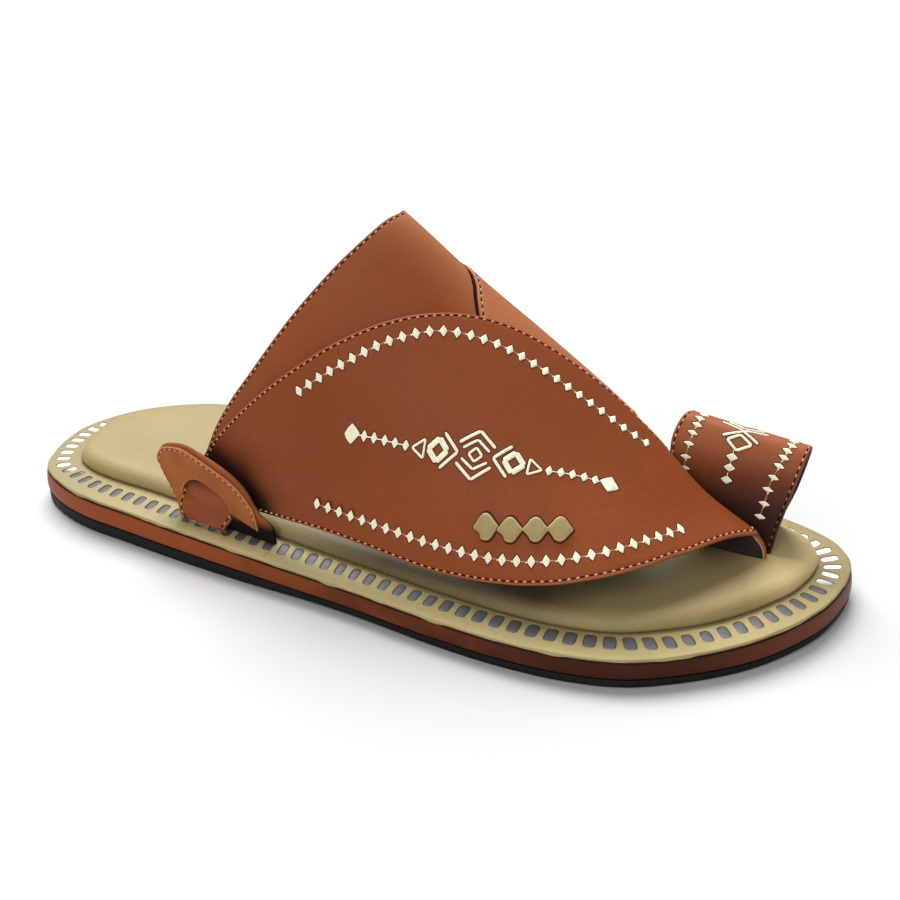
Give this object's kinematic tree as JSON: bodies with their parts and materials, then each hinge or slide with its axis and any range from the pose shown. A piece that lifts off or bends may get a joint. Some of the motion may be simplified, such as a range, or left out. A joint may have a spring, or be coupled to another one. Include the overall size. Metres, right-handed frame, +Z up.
{
  "type": "sandal",
  "caption": "Flat men's slip-on sandal for the right foot: embroidered leather instep straps, big-toe loop, side loops and a padded footbed ringed by a windowed rim.",
  "frame": {"origin": "centre of the sandal's bounding box, on the floor", "axes": "+X from heel to toes, +Y to the big-toe side, +Z up"},
  "size_m": [0.2786, 0.1172, 0.108],
  "materials": {
    "black_rubber": "matt black rubber",
    "rand_leather": "smooth brown leather, slightly glossy",
    "silver_foil": "silver coated strip, satin",
    "tan_leather": "smooth tan leather, satin",
    "brown_leather": "smooth brown leather with fine grain",
    "loop_leather": "soft napped brown leather",
    "tan_puff": "smooth tan padded leather"
  },
  "bodies": {
    "root": {"outsole": "black_rubber", "midsole": "rand_leather", "silver_strip": "silver_foil", "rim": "tan_leather", "footbed": "tan_leather", "upper": "brown_leather", "toe_loop": "brown_leather", "side_loop_lateral": "loop_leather", "side_loop_medial": "loop_leather", "diamond_1": "tan_puff", "diamond_2": "tan_puff", "diamond_3": "tan_puff", "diamond_4": "tan_puff"}
  },
  "joints": []
}
